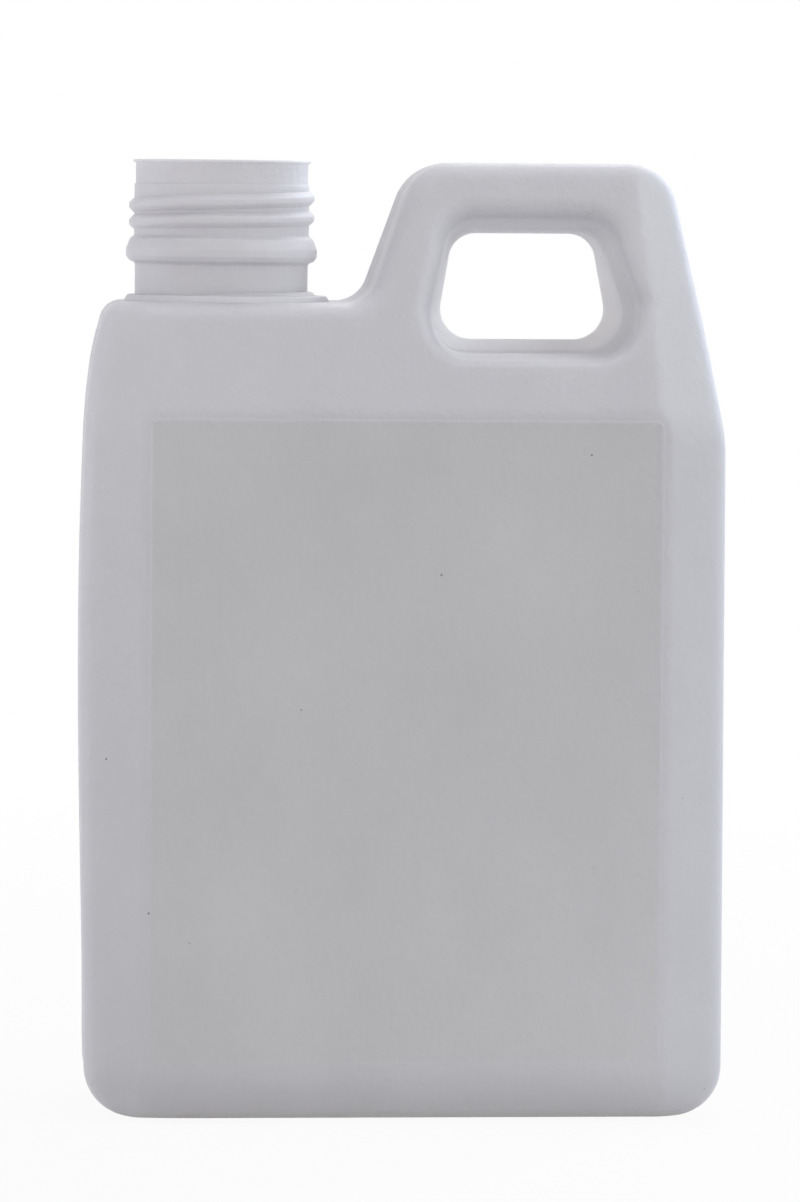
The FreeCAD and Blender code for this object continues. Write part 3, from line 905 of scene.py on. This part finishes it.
# %% White floor
sweep = bpy.data.materials.new("white_sweep")
sweep.use_nodes = True
ground = sweep.node_tree
ground.nodes.clear()
matt = add_node(ground, "ShaderNodeBsdfDiffuse", {"Color": linear("#D8D8DA")})
table = add_node(ground, "ShaderNodeEmission", {"Color": linear("#FFF6E8"), "Strength": 0.108})
card = add_node(ground, "ShaderNodeAddShader", {0: matt.outputs[0], 1: table.outputs[0]})
white = add_node(ground, "ShaderNodeEmission", {"Color": linear("#FFFFFF"), "Strength": 1.0})
spot = add_node(ground, "ShaderNodeTexCoord").outputs["Object"]
away = add_node(ground, "ShaderNodeVectorMath", {0: spot}, operation="LENGTH").outputs["Value"]
plain = ramp(ground, away, 0.15, 0.7, 0.92, 1.0, interpolation_type="SMOOTHSTEP")
both = add_node(ground, "ShaderNodeMixShader", {
    0: math_node(ground, "MULTIPLY", seen_white(ground), plain),
    1: card.outputs[0], 2: white.outputs[0]})
out = add_node(ground, "ShaderNodeOutputMaterial")
ground.links.new(both.outputs[0], out.inputs["Surface"])
sweep.cycles.emission_sampling = "NONE"

floor_mesh = bpy.data.meshes.new("floor")
reach = 6.0
floor_mesh.from_pydata([(-reach, -reach, 0), (reach, -reach, 0), (reach, reach, 0),
                        (-reach, reach, 0)], [], [(0, 1, 2, 3)])
floor_mesh.materials.append(sweep)
floor = bpy.data.objects.new("floor", floor_mesh)
bpy.context.scene.collection.objects.link(floor)
print("floor", 2 * reach, "m wide")

# %% White world
world = bpy.data.worlds.new("white_tent")
bpy.context.scene.world = world
world.use_nodes = True
air = world.node_tree
air.nodes.clear()
tent = add_node(air, "ShaderNodeBackground", {"Color": linear("#FFF8F8"), "Strength": 0.34})
white = add_node(air, "ShaderNodeBackground", {"Color": linear("#FFFFFF"), "Strength": 1.0})
sky = add_node(air, "ShaderNodeMixShader", {
    0: seen_white(air), 1: tent.outputs[0], 2: white.outputs[0]})
out = add_node(air, "ShaderNodeOutputWorld")
air.links.new(sky.outputs[0], out.inputs["Surface"])
print("tent strength", round(tent.inputs["Strength"].default_value, 2))

# %% [markdown]
# ## Light
# Milky plastic shows its form only by slow changes of tone, so all the light comes from
# large soft boxes and little of it from the front: bluish ones on the right and right
# behind, weaker ones on the left, and two overhead. Each level is what a white card
# facing the box would get, where 1 is full white, so together they stay below 1.

# %% Soft boxes
middle = Vector((0.0, 0.0, 0.1))


def soft_box(name, place, size, level, colour):
    """A square lamp aimed at the can; level is how bright a white card facing it is."""
    reach = (middle - Vector(place)).length
    data = bpy.data.lights.new(name, "AREA")
    data.shape, data.size = "SQUARE", size
    data.energy = level * (math.pi * reach) ** 2
    data.color = linear(colour)[:3]
    lamp = bpy.data.objects.new(name, data)
    bpy.context.scene.collection.objects.link(lamp)
    lamp.location = place
    lamp.rotation_euler = (middle - Vector(place)).to_track_quat("-Z", "Y").to_euler()
    print(name, round(reach, 2), "m away,", round(data.energy, 1), "W")


for name, place, size, level, colour in (
        ("left_front_box", (-0.8, -0.65, 0.4), 0.6, 0.165, "#FFFEF4"),
        ("left_box", (-0.95, 0.0, 0.3), 0.6, 0.18, "#E2EBFF"),
        ("right_front_box", (0.8, -0.55, 0.65), 0.6, 0.36, "#F4FCFF"),
        ("right_back_box", (0.8, 0.5, 0.5), 0.6, 0.315, "#CEE4FF"),
        ("top_box", (0.0, -0.15, 1.15), 0.7, 0.21, "#EEF0FF"),
        ("top_back_box", (0.25, 0.6, 0.9), 0.7, 0.31, "#FBFEFF")):
    soft_box(name, place, size, level, colour)

# %% [markdown]
# ## Camera
# In a catalogue the sides have to look straight, so the camera stands back over a metre with
# a long lens. It looks from a little above and a little to the left, which shows the rounded
# shoulder and the inner side of the finger hole, and it is turned by less than half a
# degree, as a camera held by hand would be.

# %% Camera
aim = Vector((0.00054, 0.0, 0.10468))
distance, height, turn, roll = 1.1383, math.radians(4.062), math.radians(-3.823), 0.431
spot = aim + distance * Vector((math.cos(height) * math.sin(turn),
                                -math.cos(height) * math.cos(turn), math.sin(height)))
lens = bpy.data.cameras.new("camera")
lens.sensor_width, lens.lens = 36.0, 165.3
camera = bpy.data.objects.new("camera", lens)
bpy.context.scene.collection.objects.link(camera)
look = (aim - spot).to_track_quat("-Z", "Y").to_matrix().to_4x4()
camera.matrix_world = (Matrix.Translation(spot) @ look
                       @ Matrix.Rotation(math.radians(roll), 4, "Z"))
bpy.context.scene.camera = camera
bpy.context.scene.view_settings.view_transform = "Standard"
print("camera", round(distance, 3), "m away, focal length", lens.lens, "mm")
